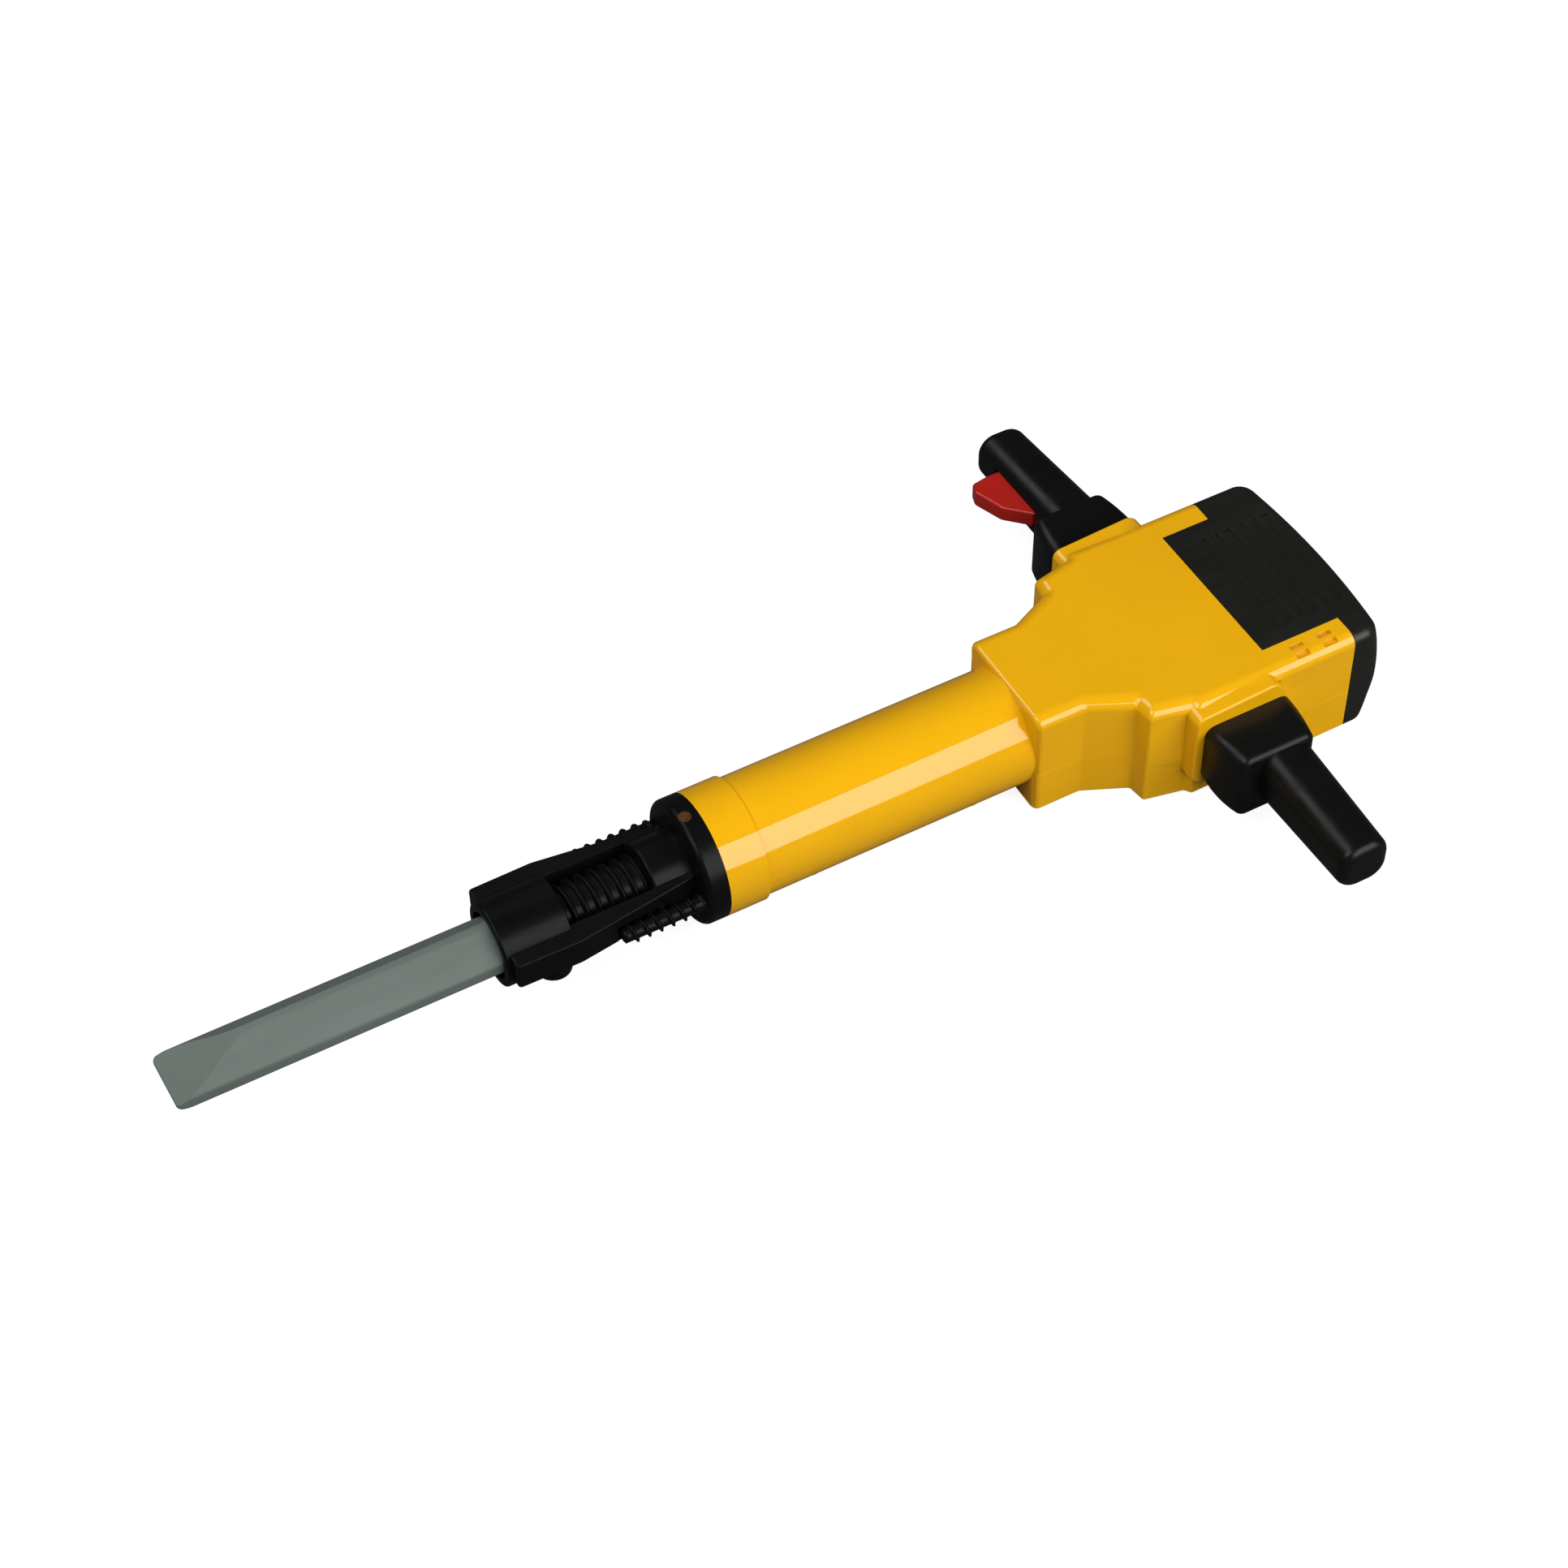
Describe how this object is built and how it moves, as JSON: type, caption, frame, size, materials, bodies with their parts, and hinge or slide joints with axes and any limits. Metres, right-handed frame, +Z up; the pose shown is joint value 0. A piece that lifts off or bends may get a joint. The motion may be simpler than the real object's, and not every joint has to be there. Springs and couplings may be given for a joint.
{
  "type": "toy electric jackhammer",
  "caption": "Toy jackhammer with a square-bar chisel, ribbed nose, round barrel, waisted housing with two side grips, a trigger and a grooved rear cap.",
  "frame": {"origin": "on the flat underside of the housing, 30 mm behind its front face and under the tool axis, the tool lying on its back", "axes": "+X along the tool from the chisel to the rear cap, +Y towards the trigger grip, +Z up through the face with the grooves"},
  "size_m": [0.5298, 0.2782, 0.054],
  "materials": {
    "yellow_plastic": "glossy injection-moulded plastic, golden yellow",
    "black_plastic": "satin black moulded plastic",
    "grey_plastic": "pearly grey moulded plastic",
    "red_plastic": "glossy red moulded plastic",
    "amber_lens": "brown-orange tinted lens",
    "led_epoxy": "clear-tinted lamp body",
    "screw_steel": "zinc-plated screws",
    "spring_steel": "bright spring wire",
    "shaft_steel": "ground steel",
    "motor_steel": "plated motor can",
    "weight_iron": "sintered iron weight",
    "gear_nylon": "natural nylon",
    "frame_plastic": "grey internal moulding",
    "cell_wrap": "wrapped steel can",
    "board_green": "circuit board laminate",
    "parts_dark": "electronic parts",
    "speaker_steel": "pressed speaker basket",
    "magnet_ferrite": "ferrite magnet",
    "cone_paper": "speaker cone"
  },
  "bodies": {
    "tool_body": {"housing_upper_shell": "yellow_plastic", "housing_lower_shell": "yellow_plastic", "housing_screws": "screw_steel", "rear_cap": "black_plastic", "barrel_end_ring": "yellow_plastic", "nose_collar": "black_plastic", "lamp_lens": "amber_lens", "lamp_led": "led_epoxy", "nose_frame": "black_plastic", "nose_bellows": "black_plastic", "side_springs": "black_plastic", "shank_bulkhead": "frame_plastic", "return_spring": "spring_steel", "trigger_grip_upper": "black_plastic", "trigger_grip_lower": "black_plastic", "plain_grip_upper": "black_plastic", "plain_grip_lower": "black_plastic", "grip_screws": "screw_steel", "trigger_pin": "shaft_steel", "trigger_spring": "spring_steel", "switch_body": "parts_dark", "battery_tray": "frame_plastic", "aa_cells": "cell_wrap", "battery_contacts": "spring_steel", "circuit_board": "board_green", "board_parts": "parts_dark", "speaker_basket": "speaker_steel", "speaker_magnet": "magnet_ferrite", "speaker_cone": "cone_paper", "motor_can": "motor_steel", "drive_frame": "frame_plastic", "frame_screws": "screw_steel"},
    "chisel_plunger": {"chisel": "grey_plastic", "shank_stop_ring": "frame_plastic"},
    "shaker_gear": {"weight_gear": "gear_nylon", "weight_axle": "shaft_steel", "eccentric_weight": "weight_iron"},
    "motor_rotor": {"motor_shaft": "shaft_steel", "motor_pinion": "gear_nylon"},
    "trigger_lever": {"trigger": "red_plastic"},
    "switch_button": {"switch_plunger": "gear_nylon"},
    "battery_cover": {"battery_door": "yellow_plastic", "door_screw": "screw_steel"}
  },
  "joints": [
    {"name": "chisel_plunge", "type": "slide", "parent": "tool_body", "child": "chisel_plunger", "axis": [1, 0, 0], "range_m": [0, 0.008], "stiffness_N_per_m": 350, "springref_m": -0.004, "deforming": ["return_spring"]},
    {"name": "shaker_spin", "type": "hinge", "parent": "tool_body", "child": "shaker_gear", "pos_m": [-0.008, 0, 0.027], "axis": [0, 1, 0], "continuous": true},
    {"name": "motor_spin", "type": "hinge", "parent": "tool_body", "child": "motor_rotor", "pos_m": [0.012, 0, 0.027], "axis": [0, 1, 0], "continuous": true},
    {"name": "trigger_pull", "type": "hinge", "parent": "tool_body", "child": "trigger_lever", "pos_m": [0.0463, 0.0935, 0.0316], "axis": [0, 0, -1], "range_deg": [0, 7], "stiffness_Nm_per_rad": 0.4, "springref_deg": -2.86, "deforming": ["trigger_spring"]},
    {"name": "switch_press", "type": "slide", "parent": "tool_body", "child": "switch_button", "axis": [1, 0, 0], "range_m": [0, 0.0014]},
    {"name": "battery_door_lift", "type": "slide", "parent": "tool_body", "child": "battery_cover", "axis": [0, 0, -1], "range_m": [0, 0.03]}
  ],
  "couplings": [
    {"joint": "motor_spin", "follows": "shaker_spin", "ratio": -4},
    {"joint": "switch_press", "follows": "trigger_pull", "m_per_rad": 0.010485}
  ]
}
